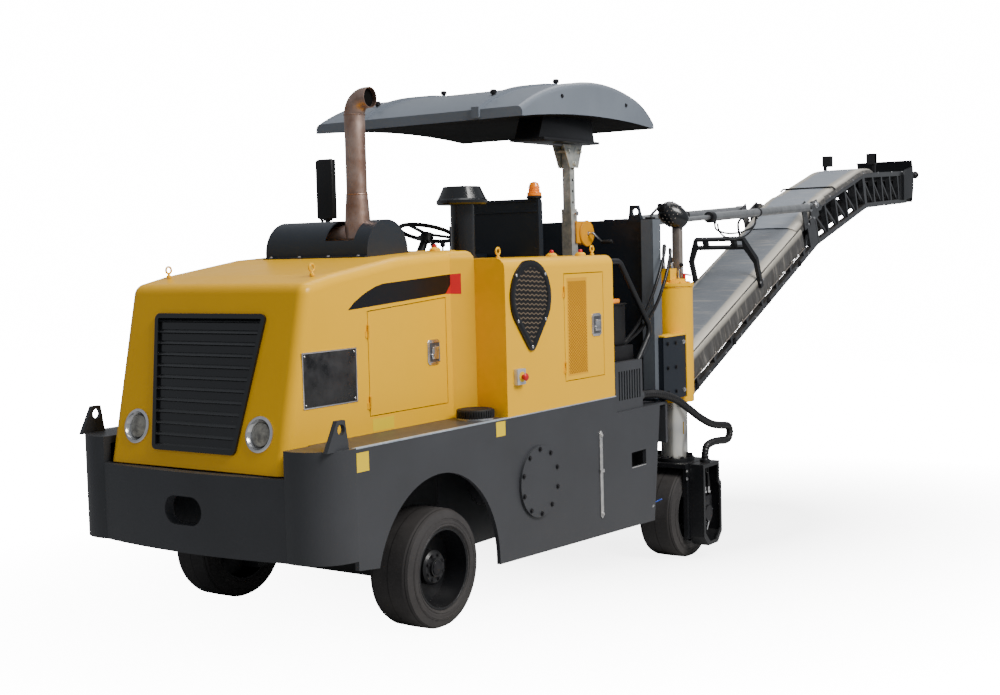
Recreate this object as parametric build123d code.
"""Wheeled cold planer milling machine with a rear discharge conveyor.

Everything is modelled in the machine's own frame: +X forwards, +Y to the left, +Z up, with the
front axle at X = 0 and the front tyres' contact at Z = 0.  The machine stands on its lifting
columns with the nose a little low, so at the end every piece is turned by the parking pitch
about the front contact line and moved so that the ground is Z = 0 and the whole is centred.
All lengths are millimetres, all angles degrees.
"""
import os
from math import atan2, cos, degrees, hypot, pi, radians, sin, tan

from build123d import *

# ---------------------------------------------------------------- wheels and stance
TYRE_R = 330.0              # 660 x 280 solid tyre
TYRE_W = 280.0
SHOULDER = 42.0             # worn shoulder of a tyre, across and down
RIM_R = 225.0
RIM_WALL = 14.0
HUB_R = 95.0
HUB_INNER = 95.0            # open end of the hub from the tyre's middle
HUB_OUTER = 71.0
HUB_CAP_R = 50.0
SPINDLE_R = 44.7
SPINDLE_BORE = 45.0
WHEEL_Y = 744.0             # middle of the tyres, both axles
WHEELBASE = 3000.0
REAR_DROP = 194.0           # how far the rear columns stand out below the front contact
AXLE_Z = TYRE_R
REAR_AXLE_Z = TYRE_R - REAR_DROP
RUN = 0.3                   # seat gap between pieces of different bodies

# ---------------------------------------------------------------- chassis
BODY_HALF = 945.0           # outer face of the side plates
SIDE_T = 25.0
DECK_Z = 1095.0
REAR_DECK_Z = 985.0
NOSE_X = 1060.0             # front face on the centre line
NOSE_CORNER_X = 1000.0      # front face where the raised corners start
NOSE_SIDE_X = 790.0         # where the round corner meets the side plate
NOSE_Z0 = 535.0
LIP_Z = 955.0
LIP_HALF = 660.0
NOSE_WALL = 60.0
ARCH = (105.0, 300.0, 548.0, 572.0)     # wheel arch ellipse: X, Z, half width, half height
COVER_R = 212.0             # round drum bearing cover
COVER_T = 15.0
ARCH_REAR_X = -443.0        # lower front corner of the skirt, behind the wheel
SKIRT_FRONT_Z = 271.0       # lower edge of the side plate behind the arch
SKIRT_REAR_Z = 200.0
SIDE_REAR_TOP_X = 595.0 - WHEELBASE
SIDE_REAR_LOW_X = SIDE_REAR_TOP_X + 103
SLOT_X = SIDE_REAR_TOP_X + 211          # hand slot in the side plates
CAB_REAR_X = -1791.0
STEP_X = CAB_REAR_X - 20.0  # where the deck steps down behind the cabinet
RAIL_Y = 360.0              # frame rails under the deck
RAIL_W = 60.0
RAIL_Z0 = 880.0
DECK_T = 20.0
LUG_X = 850.0               # lifting lugs on the nose corners
LUG_Y = BODY_HALF - 60
LUG_Z = 1195.0
LUG_T = 25.0
LUG_R = 27.0                # lifting lug holes, front and rear
REAR_LUG = (707.0, 2290.0)  # Y, Z of the lug holes on the rear wall
TOW_HOLE = (755.0, 268.0, 150.0)        # oval opening in the nose: Z, width, height

# ---------------------------------------------------------------- milling drum
DRUM_X = -865.0
DRUM_Z = 684.0
DRUM_HALF = 500.0           # one metre milling width
DRUM_R = 320.0              # drum body
SHAFT_R = 110.0             # drum shaft ends in their bearing housings
DRUM_CLEAR = 25.0           # drum ends to the chamber walls
CHAMBER_T = 20.0
CHAMBER_FRONT_X = -395.0
CHAMBER_REAR_X = -1390.0
CHAMBER_Z = (290.0, 1135.0)             # open lower edge and roof of the chamber
CHAMBER_HALF = DRUM_HALF + DRUM_CLEAR + CHAMBER_T

# ---------------------------------------------------------------- engine hood
HOOD_HALF = 640.0
HOOD_T = 12.0
HOOD_FRONT_LOW = (985.0, LIP_Z + 8)
HOOD_FRONT_TOP = (775.0, 1905.0)
HOOD_CREST = (0.0, 2030.0)
HOOD_REAR = (-556.0, 2060.0)
HOOD_FLARE_X = -450.0
HOOD_FLARE_Y = 735.0
HOOD_BROW = (560.0, 1950.0)             # where the leaning front has turned into the top
HOOD_ROUND = 55.0
HOOD_NOSE_ROUND = 70.0

# ---------------------------------------------------------------- side cabinet
CAB_FRONT_X = HOOD_REAR[0]
CAB_IN_Y = 250.0
CAB_TOP_Z = 2005.0
CAB_ROUND = 60.0
CAB_T = 12.0
FLOOR_Z = 1280.0            # operator platform

# ---------------------------------------------------------------- lifting columns
COLUMN_X = -WHEELBASE
COLUMN_R = 148.0
COLUMN_Z0 = 935.0
COLUMN_TOP = 1785.0
STEM_R = 96.0
LEG_PLATE_Z = 505.0
LEG_PLATE_T = 30.0
LIFT_UP = 260.0             # travel of a leg above and below the stored height
LIFT_DOWN = 60.0
CLAMP_Z = (985.0, 1420.0)   # black clamps that hold the guide tubes

# ---------------------------------------------------------------- rear wall and conveyor
WALL_X = COLUMN_X + 440
WALL_TOP = 2240.0
WALL_HALF = BODY_HALF - 85
SLEW_X = WALL_X - 200        # vertical slew axis
SLEW_PIN_R = 35.0
SLEW_LOW = (400.0, 590.0)   # lower bracket: outer faces of its two plates
SLEW_HIGH = (2080.0, 2195.0)            # upper bracket on the rear wall
BRACKET_T = 30.0
BACK_T = 30.0
YOKE_HALF = 335.0
RAISE_AT = (SLEW_X - 250, 500.0)        # raise axis: X, Z
RAISE_PIN_R = 25.0
BELT_HALF = 230.0
BELT_T = 12.0
BELT_V = (72.0, -110.0)     # carrying and return run of the lower belt, across
CONV_HALF = 290.0
CONV_SLOPE = 23.5
CONV_LOW = -180.0           # lower rail to the raise axis, across the conveyor
CONV_TOP = 175.0            # cover top above the raise axis
CONV_TAIL = -70.0
FOLD_END = 4270.0           # length of the lower section past the raise axis
FOLD_AT = (4300.0, 215.0)   # fold axis, along and across the lower section
CHORD = 50.0                # square tube of the conveyor frames
RAIL_V = 90.0               # upper rail of the lower section, across
POST_W = 35.0
BAYS_LOW = 12
BRACE = 22.0                # square diagonals of the conveyor frames
HEAD_SHAFT = 120.0          # head drum from the end of the lower chord
WEB_T = 15.0                # bearing plates of the belt drums
FOLD_PIN_R = 20.0
HOIST_PIN_R = 20.0
COVER_U = (760.0, 3900.0)   # the cloth cover along the lower section
# bent chords of the folding section from the fold axis: X, Z
FROM_FOLD_LOW = ((-135.0, -375.0), (-1482.0, -12.0), (-2782.0, 58.0))
FROM_FOLD_TOP = ((6.0, -27.0), (-1382.0, 348.0), (-2732.0, 413.0))
HOIST_EYE = (SLEW_X - 100, 2200.0)      # mast end of the hoist cylinders
HOIST_PIN = (4030.0, 300.0)             # conveyor end, along and across the lower section
HOIST_Y = 350.0
CLEVIS_OUT = 55.0
BARREL_R = 36.0
BARREL_L = 2150.0
ROD_R = 20.0
ROD_START = 1500.0          # inner end of the rods, from the conveyor pins


def park_pitch():
    """Nose down pitch of the parked machine, in degrees."""
    return degrees(atan2(REAR_DROP, WHEELBASE))


# ================================================================ small helpers
def box(x0, x1, y0, y1, z0, z1):
    size = (abs(x1 - x0), abs(y1 - y0), abs(z1 - z0))
    return Pos((x0 + x1) / 2, (y0 + y1) / 2, (z0 + z1) / 2) * Box(*size)


def rod_y(x, z, r, y0, y1):
    """A cylinder along Y."""
    return Pos(x, (y0 + y1) / 2, z) * Rot(90, 0, 0) * Cylinder(r, abs(y1 - y0))


def rod_x(y, z, r, x0, x1):
    return Pos((x0 + x1) / 2, y, z) * Rot(0, 90, 0) * Cylinder(r, abs(x1 - x0))


def rod_z(x, y, r, z0, z1):
    return Pos(x, y, (z0 + z1) / 2) * Cylinder(r, abs(z1 - z0))


def plate_xz(points, y0, y1, round_r=0.0):
    """A plate with an outline in X and Z, from y0 to y1."""
    plane = Plane(origin=(0, y1, 0), x_dir=(1, 0, 0), z_dir=(0, -1, 0))
    face = make_face(Polyline(*points, close=True))
    if round_r:
        face = fillet(face.vertices(), round_r)
    return extrude(plane * face, amount=y1 - y0)


def plate_xy(points, z0, z1, round_r=0.0):
    face = make_face(Polyline(*points, close=True))
    if round_r:
        face = fillet(face.vertices(), round_r)
    return Pos(0, 0, z0) * extrude(face, amount=z1 - z0)


def plate_yz(points, x0, x1, round_r=0.0):
    plane = Plane(origin=(x0, 0, 0), x_dir=(0, 1, 0), z_dir=(1, 0, 0))
    face = make_face(Polyline(*points, close=True))
    if round_r:
        face = fillet(face.vertices(), round_r)
    return extrude(plane * face, amount=x1 - x0)


def bar(a, b, r):
    """A round bar from point a to point b."""
    a, b = Vector(*a), Vector(*b)
    along = b - a
    upright = Cylinder(r, along.length, align=(Align.CENTER, Align.CENTER, Align.MIN))
    return Plane(origin=a, z_dir=along) * upright


def square_bar(a, b, w, h=None):
    """A rectangular bar from a to b in a plane of constant Y: w across Y, h across the bar."""
    h = h or w
    a, b = Vector(*a), Vector(*b)
    along = b - a
    plane = Plane(origin=a, x_dir=(0, 1, 0), z_dir=along)
    return plane * Box(w, h, along.length, align=(Align.CENTER, Align.CENTER, Align.MIN))


def join(shapes):
    shapes = list(shapes)
    return shapes[0] + shapes[1:] if len(shapes) > 1 else shapes[0]


def mirrored(shape):
    return mirror(shape, about=Plane.XZ)


# ================================================================ chassis pieces
def nose_face(inset):
    """Plan outline of the bowed nose, moved in by inset."""
    half = BODY_HALF - inset
    front = NOSE_X - inset
    corner = NOSE_CORNER_X - inset
    lip = LIP_HALF - inset * 0.4
    mid = ((corner + NOSE_SIDE_X) / 2 + 62, (lip + half) / 2 + 62)
    left = ThreePointArc((corner, lip), mid, (NOSE_SIDE_X, half))
    bow = ThreePointArc((corner, -lip), (front, 0), (corner, lip))
    right = ThreePointArc((NOSE_SIDE_X, -half), (mid[0], -mid[1]), (corner, -lip))
    back = Line((NOSE_SIDE_X, half), (NOSE_SIDE_X, -half))
    return make_face([right, bow, left, back])


def front_counterweight():
    """Bowed hollow nose with raised corners, a low middle lip and an oval towing opening."""
    height = DECK_Z - NOSE_Z0
    shell = extrude(nose_face(0), amount=height) - extrude(nose_face(NOSE_WALL), amount=height - 40)
    shell = Pos(0, 0, NOSE_Z0) * shell
    shell -= box(NOSE_SIDE_X - 5, NOSE_X + 50, -LIP_HALF, LIP_HALF, LIP_Z, DECK_Z + 1)
    hole_z, hole_w, hole_h = TOW_HOLE
    hole = Plane(origin=(NOSE_X, 0, hole_z), x_dir=(0, 1, 0), z_dir=(1, 0, 0)) * SlotOverall(hole_w, hole_h)
    shell -= extrude(hole, amount=200, both=True)
    lug = plate_xz([(NOSE_SIDE_X + 5, DECK_Z - 5), (820, LUG_Z + 45), (880, LUG_Z + 45), (960, DECK_Z - 5)],
                   LUG_Y, LUG_Y + LUG_T)
    lug -= rod_y(LUG_X, LUG_Z, LUG_R, LUG_Y - 5, LUG_Y + LUG_T + 5)
    return join([shell, lug, mirrored(lug)])


def side_plate():
    """Left side plate with wheel arch, sloping skirt, rear cut-out and the drum bearing cover."""
    ax, az, a, b = ARCH
    outline = [
        (NOSE_SIDE_X, NOSE_Z0 - 48), (NOSE_SIDE_X, DECK_Z), (STEP_X, DECK_Z), (STEP_X, REAR_DECK_Z),
        (SIDE_REAR_TOP_X, REAR_DECK_Z), (SIDE_REAR_LOW_X, SKIRT_REAR_Z), (ARCH_REAR_X, SKIRT_FRONT_Z),
        (640, 470),
    ]
    y0 = BODY_HALF - SIDE_T
    plate = plate_xz(outline, y0, BODY_HALF)
    plane = Plane(origin=(ax, y0, az), x_dir=(1, 0, 0), z_dir=(0, -1, 0))
    plate -= extrude(plane * Ellipse(a, b), amount=100, both=True)
    plate -= box(ax - a, ax + a, y0 - 5, BODY_HALF + 5, 0, az)
    plate -= box(SLOT_X, SLOT_X + 197, y0 - 5, BODY_HALF + 5, 602, 701)
    return plate + rod_y(DRUM_X, DRUM_Z, COVER_R, BODY_HALF - 1, BODY_HALF + COVER_T)


def chassis_frame():
    """Deck, cross walls, rails and the rear slew bracket between the side plates."""
    inner = BODY_HALF - SIDE_T
    rail_top = DECK_Z - DECK_T / 2
    rear_top = REAR_DECK_Z - DECK_T / 2
    parts = [
        box(STEP_X, NOSE_SIDE_X, -inner, inner, DECK_Z - DECK_T, DECK_Z),
        box(WALL_X, STEP_X, -inner, inner, REAR_DECK_Z - DECK_T, REAR_DECK_Z),
        box(STEP_X, STEP_X + DECK_T, -inner, inner, REAR_DECK_Z - DECK_T, DECK_Z),
        box(WALL_X, WALL_X + BACK_T, -560, 560, 380, REAR_DECK_Z),
        box(WALL_X, WALL_X + BACK_T, -inner, inner, 700, REAR_DECK_Z),
        box(NOSE_SIDE_X - BACK_T, NOSE_SIDE_X, -inner, inner, NOSE_Z0, rail_top),
    ]
    for side in (-1, 1):
        y0, y1 = side * RAIL_Y - RAIL_W / 2, side * RAIL_Y + RAIL_W / 2
        parts.append(box(WALL_X + 5, CHAMBER_REAR_X, y0, y1, RAIL_Z0, rear_top))
        parts.append(box(STEP_X + 5, CHAMBER_REAR_X, y0, y1, RAIL_Z0, rail_top))
        parts.append(box(CHAMBER_FRONT_X, NOSE_SIDE_X - 5, y0, y1, RAIL_Z0, rail_top))
    for z0 in (SLEW_LOW[0], SLEW_LOW[1] - BRACKET_T):
        parts.append(box(SLEW_X - 60, WALL_X + 5, -90, 90, z0, z0 + BRACKET_T))
    parts.append(rod_z(SLEW_X, 0, SLEW_PIN_R, SLEW_LOW[0] - 5, SLEW_LOW[1] + 10))
    opening = box(CHAMBER_REAR_X, CHAMBER_FRONT_X, -CHAMBER_HALF, CHAMBER_HALF, 0, 2000)
    return join(parts) - opening


def drum_housing():
    """Open bottomed milling chamber round the drum, let into the deck between the rails."""
    z0, z1 = CHAMBER_Z
    t = CHAMBER_T
    shell = box(CHAMBER_REAR_X, CHAMBER_FRONT_X, -CHAMBER_HALF, CHAMBER_HALF, z0, z1)
    shell -= box(CHAMBER_REAR_X + t, CHAMBER_FRONT_X - t, t - CHAMBER_HALF, CHAMBER_HALF - t, z0 - 10, z1 - t)
    bearing = rod_y(DRUM_X, DRUM_Z, SHAFT_R + RUN, -BODY_HALF, BODY_HALF)
    ring = rod_y(DRUM_X, DRUM_Z, SHAFT_R + 60, CHAMBER_HALF - 5, BODY_HALF - SIDE_T)
    return join([shell, ring, mirrored(ring)]) - bearing


PICK_ROWS = 4               # helical starts
PICKS_PER_ROW = 19
PICK_SWEEP = 250.0          # wrap of one start from the end to the middle
PICK_R = 16.0
PICK_L = 70.0


def pick_stations():
    """(Y, angle) of every pick: helices that run from both ends to the middle."""
    pitch = 2 * (DRUM_HALF - 25) / (PICK_ROWS * PICKS_PER_ROW - 1)
    stations = []
    for index in range(PICK_ROWS * PICKS_PER_ROW):
        y = -DRUM_HALF + 25 + index * pitch
        start = (index % PICK_ROWS) * 360.0 / PICK_ROWS
        stations.append((y, start + PICK_SWEEP * (1 - abs(y) / DRUM_HALF)))
    return stations


def pick(y, angle):
    """One tool holder block with its round shank pick, leaning into the cut."""
    holder = Pos(DRUM_R + 14, 0, 0) * Rot(0, -25, 0) * Box(52, 34, 62)
    carbide = extrude(RegularPolygon(PICK_R, 6), amount=PICK_L, taper=8)
    point = Pos(DRUM_R + 32, 0, -8) * Rot(0, 50, 0) * carbide
    return Pos(DRUM_X, y, DRUM_Z) * Rot(0, angle, 0) * (holder + point)


def milling_drum():
    """Drum tube with its helical rows of picks and shaft ends."""
    body = rod_y(DRUM_X, DRUM_Z, DRUM_R, -DRUM_HALF, DRUM_HALF)
    body -= rod_y(DRUM_X, DRUM_Z, DRUM_R - 30, -DRUM_HALF - 1, -DRUM_HALF + 200)
    body -= rod_y(DRUM_X, DRUM_Z, DRUM_R - 30, DRUM_HALF - 200, DRUM_HALF + 1)
    shaft_end = CHAMBER_HALF + 120
    body += rod_y(DRUM_X, DRUM_Z, SHAFT_R, -shaft_end, shaft_end)
    return join([body] + [pick(y, angle) for y, angle in pick_stations()])


def engine_block():
    return box(-360, 560, -330, 330, DECK_Z, 1760)


# ================================================================ hood and what it carries
def hood_outline(inset):
    low, top = HOOD_FRONT_LOW, HOOD_FRONT_TOP
    return [
        (low[0] - inset, low[1] - 1), (top[0] - inset, top[1] - inset),
        (HOOD_BROW[0] - inset, HOOD_BROW[1] - inset),
        (HOOD_CREST[0], HOOD_CREST[1] - inset), (HOOD_REAR[0], HOOD_REAR[1] - inset), (HOOD_REAR[0], DECK_Z),
        (NOSE_SIDE_X + 5, DECK_Z), (NOSE_SIDE_X + 5, low[1] - 1),
    ]


def hood_solid(inset):
    """Filled hood, moved in by inset, with rounded nose and rounded side edges."""
    half = HOOD_HALF - inset
    face = make_face(Polyline(*hood_outline(inset), close=True))
    nose = (HOOD_FRONT_TOP[0] - inset, HOOD_FRONT_TOP[1] - inset)
    face = fillet(face.vertices().sort_by_distance(nose)[0], HOOD_NOSE_ROUND - inset)
    core = extrude(Plane(origin=(0, half, 0), x_dir=(1, 0, 0), z_dir=(0, -1, 0)) * face, amount=2 * half)
    rim = [edge for edge in core.edges() if abs(abs(edge.center().Y) - half) < 0.01
           and edge.center().Z > DECK_Z + 1 and edge.center().X > HOOD_REAR[0] + 1]
    core = fillet(rim, HOOD_ROUND - inset)
    flare_y = HOOD_FLARE_Y - inset
    corners = [(HOOD_FLARE_X, half), (HOOD_REAR[0], flare_y), (HOOD_REAR[0], -flare_y), (HOOD_FLARE_X, -half)]
    top = HOOD_REAR[1] - 6 - inset
    flare = plate_xy(corners, DECK_Z, top)
    edges = [edge for edge in flare.edges() if edge.center().Z > top - 1 and abs(edge.center().Y) > half - 1]
    return core + fillet(edges, HOOD_ROUND - inset)


def engine_hood():
    """Leaning front, crowned top and flared tail, hollow, with grille, lamp and door cut-outs."""
    hood = hood_solid(0)
    inner = hood_solid(HOOD_T)
    hood -= Pos(0, 0, -1) * inner
    hood -= grille_plate(30.0, 0.0)
    hood -= plate_xz(door_outline(0), HOOD_HALF - 40, HOOD_HALF + 5)
    for y in LAMP_Y:
        hood -= lamp_solid(y, LAMP_R)
    return join([hood] + hinge_halves(DOOR[1], HOOD_HALF, HOOD_HINGES, -1))


DOOR = (-401.0, 301.0, 1184.0, 1747.0, 1793.0)     # rear X, front X, low Z, top Z front, top Z rear
DOOR_GAP = 5.0
HINGE_R = 7.0
HINGE_OUT = 9.0             # hinge axis from the panel's outer face
HINGE_L = 34.0              # length of each half of a hinge


def door_outline(gap):
    x0, x1, z0, z1, z2 = DOOR
    return [(x1 - gap, z0 + gap), (x1 - gap, z1 - gap), (x0 + gap, z2 - gap), (x0 + gap, z0 + gap)]


def hinge_halves(x, y, heights, sign):
    """Knuckles on the door (sign 1) or on the body (sign -1), one above the other."""
    parts = []
    for z in heights:
        z0, z1 = (z + RUN / 2, z + HINGE_L) if sign > 0 else (z - HINGE_L, z - RUN / 2)
        x0, x1 = sorted((x - sign * 2, x - sign * 18))
        leaf = box(x0, x1, y - 1, y + 4, z0, z1)
        parts.append(leaf + rod_z(x, y + HINGE_OUT, HINGE_R, z0, z1))
    return parts


HOOD_HINGES = (1260.0, 1640.0)
CAB_DOOR = (-1665.0, -1190.0, 1244.0, 1901.0)       # rear X, front X, low Z, top Z
CAB_HINGES = (1330.0, 1790.0)


def hood_door():
    leaf = plate_xz(door_outline(DOOR_GAP), HOOD_HALF - HOOD_T, HOOD_HALF)
    return join([leaf] + hinge_halves(DOOR[1], HOOD_HALF, HOOD_HINGES, 1))


FACE_LEAN = atan2(HOOD_FRONT_LOW[0] - HOOD_FRONT_TOP[0], HOOD_FRONT_TOP[1] - HOOD_FRONT_LOW[1])
GRILLE_Z = (1045.0, 1756.0)
GRILLE_HALF = (302.0, 409.0)            # half widths at the bottom and the top
GRILLE_ROUND = 32.0
GRILLE_RIM = 26.0
LOUVRES = 12
LAMP_Y = (-450.0, 450.0)
LAMP_Z = 1158.0
LAMP_R = 87.0
LENS_R = 60.0


def face_plane(z):
    """Plane on the leaning front face with its local X to the left and its centre at height z."""
    low = HOOD_FRONT_LOW
    x = low[0] - (z - low[1]) * tan(FACE_LEAN)
    normal = (cos(FACE_LEAN), 0, sin(FACE_LEAN))
    return Plane(origin=(x, 0, z), x_dir=(0, 1, 0), z_dir=normal)


def grille_face(inset):
    """Rounded trapezoid of the grille, in the plane of the leaning front."""
    half_tall = (GRILLE_Z[1] - GRILLE_Z[0]) / 2 / cos(FACE_LEAN)
    low, high = GRILLE_HALF
    outline = [(-low, -half_tall), (low, -half_tall), (high, half_tall), (-high, half_tall)]
    face = fillet(make_face(Polyline(*outline, close=True)).vertices(), GRILLE_ROUND)
    return face if inset == 0 else offset(face, -inset)


def grille_plane():
    return face_plane((GRILLE_Z[0] + GRILLE_Z[1]) / 2)


def grille_plate(depth, inset):
    return extrude(grille_plane() * grille_face(inset), amount=depth / 2, both=True)


def lamp_solid(y, r):
    return face_plane(LAMP_Z) * Pos(y, 0, 0) * Cylinder(r, 60)


def radiator_grille():
    """Frame, louvre blades and backing mesh plate."""
    plane = grille_plane()
    rim = extrude(plane * grille_face(RUN), amount=14, both=True)
    rim -= extrude(plane * grille_face(GRILLE_RIM), amount=40, both=True)
    inner = plane * grille_face(GRILLE_RIM - 2)
    back = extrude(inner, amount=-8) - extrude(inner, amount=-2)
    pitch = (GRILLE_Z[1] - GRILLE_Z[0]) / cos(FACE_LEAN) / LOUVRES
    field = extrude(plane * grille_face(GRILLE_RIM - 4), amount=30, both=True)
    slats = []
    for index in range(LOUVRES):
        up = (index - (LOUVRES - 1) / 2) * pitch
        slats.append((plane * Pos(0, up, 0) * Rot(-35, 0, 0) * Box(2 * GRILLE_HALF[1], 34, 4)) & field)
    return join([rim, back] + slats)


def headlamps():
    lamps = []
    for y in LAMP_Y:
        bowl = Cylinder(LAMP_R - RUN, 50) - Pos(0, 0, 18) * Cone(LENS_R, LAMP_R - 6, 40)
        lamps.append(face_plane(LAMP_Z) * Pos(y, 0, -24) * (bowl + Pos(0, 0, -1) * Cylinder(LENS_R - 1, 30)))
    return lamps[0] + lamps[1]


GUARD_X = -210.0
GUARD_R = 185.0
GUARD_HALF = 385.0
GUARD_Z = 2058.0
STACK_Y = 170.0
STACK_R = 60.0
GUARD_T = 8.0
GUARD_FLANGE = 22.0
MUFFLER_R = 75.0
MUFFLER_Z = 2140.0
ELBOW_Z = 2845.0
ELBOW_R = 90.0


def guard_solid(inset):
    half = GUARD_HALF - inset
    r = GUARD_R - inset
    upper_half = box(GUARD_X - r, GUARD_X + r, -half, half, GUARD_Z, GUARD_Z + r)
    core = rod_y(GUARD_X, GUARD_Z, r, -half, half) & upper_half
    return core + box(GUARD_X - r, GUARD_X + r, -half, half, GUARD_Z - 60, GUARD_Z)


def muffler_guard():
    """Half round muffler housing across the hood, with a flange and a notch round the stack."""
    notch = GUARD_X - 95, GUARD_X + GUARD_R + 40
    shell = guard_solid(0) - guard_solid(GUARD_T)
    shell -= box(*notch, STACK_Y - 110, STACK_Y + 110, GUARD_Z + 70, GUARD_Z + 300)
    wide = GUARD_R + GUARD_FLANGE
    flange = box(GUARD_X - wide, GUARD_X + wide, -GUARD_HALF, GUARD_HALF, GUARD_Z - 60, GUARD_Z + 60)
    flange = (flange & hood_solid(-GUARD_T)) - guard_solid(GUARD_T)
    return (shell + flange) - hood_solid(0)


def exhaust_stack():
    """Muffler drum, tapered foot, straight pipe and an elbow that opens to the left."""
    muffler = rod_y(GUARD_X, MUFFLER_Z, MUFFLER_R, -GUARD_HALF + 60, GUARD_HALF - 60)
    saddle = [box(GUARD_X - 40, GUARD_X + 40, y - 20, y + 20, GUARD_Z - 60, MUFFLER_Z) for y in (-220, 0)]
    straps = join(saddle) - hood_solid(0)
    cone = Pos(GUARD_X, STACK_Y, (MUFFLER_Z + 250 + MUFFLER_Z) / 2) * Cone(80, STACK_R + 3, 250)
    pipe = rod_z(GUARD_X, STACK_Y, STACK_R, MUFFLER_Z + 240, ELBOW_Z)
    ring = Pos(GUARD_X, STACK_Y + ELBOW_R, ELBOW_Z) * Rot(0, 90, 0) * Torus(ELBOW_R, STACK_R)
    keep = box(GUARD_X - 100, GUARD_X + 100, STACK_Y - 100, STACK_Y + ELBOW_R, ELBOW_Z, ELBOW_Z + 300)
    outlet_z = ELBOW_Z + ELBOW_R
    outlet = rod_y(GUARD_X, outlet_z, STACK_R, STACK_Y + ELBOW_R, STACK_Y + ELBOW_R + 30)
    bend = (ring & keep) + outlet
    bend -= rod_y(GUARD_X, outlet_z, STACK_R - 5, STACK_Y + ELBOW_R - 40, STACK_Y + ELBOW_R + 40)
    return join([muffler, straps, cone, pipe, bend])


# ================================================================ side cabinet and operator station
def side_cabinet():
    """Hollow left side cabinet with a rounded top edge and openings for grille and door."""
    body = box(CAB_REAR_X, CAB_FRONT_X, CAB_IN_Y, BODY_HALF, DECK_Z, CAB_TOP_Z)
    body = fillet(body.edges().filter_by(Axis.X).group_by(Axis.Z)[-1].sort_by(Axis.Y)[-1:], CAB_ROUND)
    hollow = box(CAB_REAR_X + CAB_T, CAB_FRONT_X - CAB_T, CAB_IN_Y + CAB_T, BODY_HALF - CAB_T,
                 DECK_Z - 1, CAB_TOP_Z - CAB_T - 40)
    body -= hollow
    body -= box(CHAMBER_REAR_X, CAB_FRONT_X + 5, CAB_IN_Y - 5, CHAMBER_HALF, DECK_Z - 5, CHAMBER_Z[1])
    body -= vent_plate(30, 0)
    x0, x1, z0, z1 = CAB_DOOR
    body -= box(x0, x1, BODY_HALF - 40, BODY_HALF + 5, z0, z1)
    return join([body] + hinge_halves(x1, BODY_HALF, CAB_HINGES, -1))


def vent_plate(depth, inset):
    """Tear drop vent: a large circle on top run down to a small one."""
    big = Pos(-815, 1775) * Circle(215 - inset)
    small = Pos(-815, 1507) * Circle(45 - inset)
    face = make_hull((big + small).edges())
    plane = Plane(origin=(0, BODY_HALF, 0), x_dir=(1, 0, 0), z_dir=(0, -1, 0))
    return extrude(plane * face, amount=depth / 2, both=True)


def cabinet_vent():
    return vent_plate(20, RUN)


def cabinet_door():
    x0, x1, z0, z1 = CAB_DOOR
    gap = DOOR_GAP
    leaf = box(x0 + gap, x1 - gap, BODY_HALF - CAB_T, BODY_HALF, z0 + gap, z1 - gap)
    return join([leaf] + hinge_halves(x1, BODY_HALF, CAB_HINGES, 1))


def operator_platform():
    """Floor right of the cabinet with its side panel and cross supports."""
    inner = BODY_HALF - SIDE_T
    rear_x = WALL_X + 62
    floor = box(rear_x, HOOD_REAR[0] - RUN, -inner, CAB_IN_Y - RUN, FLOOR_Z - 20, FLOOR_Z)
    skirt = box(STEP_X, HOOD_REAR[0] - RUN, -inner, -inner + 20, DECK_Z, FLOOR_Z - 10)
    rear = box(rear_x, STEP_X, -inner, -inner + 20, REAR_DECK_Z, FLOOR_Z - 10)
    # cross supports: X, left end, foot
    table = ((-700, -CHAMBER_HALF - 10, DECK_Z), (-1500, CAB_IN_Y - 10, DECK_Z),
             (SIDE_REAR_TOP_X + 105, CAB_IN_Y - 10, REAR_DECK_Z))
    mid = [box(x - 10, x + 10, -inner + 10, y, z, FLOOR_Z - 10) for x, y, z in table]
    return join([floor, skirt, rear] + mid)


SEAT_X = -2100.0
SEAT_Y = -450.0
WHEEL_AT = (-1680.0, -450.0, 2182.0)


def operator_seat():
    """Seat on its pedestal: crowned pan, raked back rest and two arm rests."""
    x, y = SEAT_X, SEAT_Y
    pan = plate_xz([(x + 240, 1700), (x + 240, 1775), (x + 205, 1800), (x - 170, 1785), (x - 215, 1700)],
                   y - 235, y + 235, 14)
    back = plate_xz([(x - 150, 1740), (x - 235, 2250), (x - 262, 2262), (x - 300, 2240), (x - 235, 1730)],
                    y - 225, y + 225, 12)
    stand = box(x - 120, x + 120, y - 120, y + 120, FLOOR_Z, 1710)
    arms = []
    for side in (-1, 1):
        span = sorted((y + side * 228, y + side * 285))
        arms.append(plate_xz([(x - 215, 1960), (x + 110, 1950), (x + 110, 1915), (x - 225, 1915)], *span))
        arms.append(box(x - 215, x - 175, *span, 1760, 1930))
    return join([pan, back, stand] + arms)


def control_console():
    """Console in front of the seat with a sloping top, and the instrument panel beside it."""
    console = plate_xz([(-1250, FLOOR_Z), (-1250, 2020), (-1400, 2020), (-1560, 1930), (-1560, FLOOR_Z)],
                       -720, 100, 12)
    panel = plate_xz([(-1750, CAB_TOP_Z), (-1750, 2385), (-1785, 2385), (-1800, 2360), (-1800, CAB_TOP_Z)],
                     -95, CAB_IN_Y + 170)
    arm = box(-1785, -1250, -95, 0, 1800, 2030)
    return join([console, arm, panel]) - bar(*steering_column(), COLUMN_TUBE_R + RUN)


COLUMN_TUBE_R = 28.0


def steering_column():
    """Top and foot of the steering column, which leans into the console."""
    x, y, z = WHEEL_AT
    return (x + 8, y, z - 28), (x + 190, y, z - 290)


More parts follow.
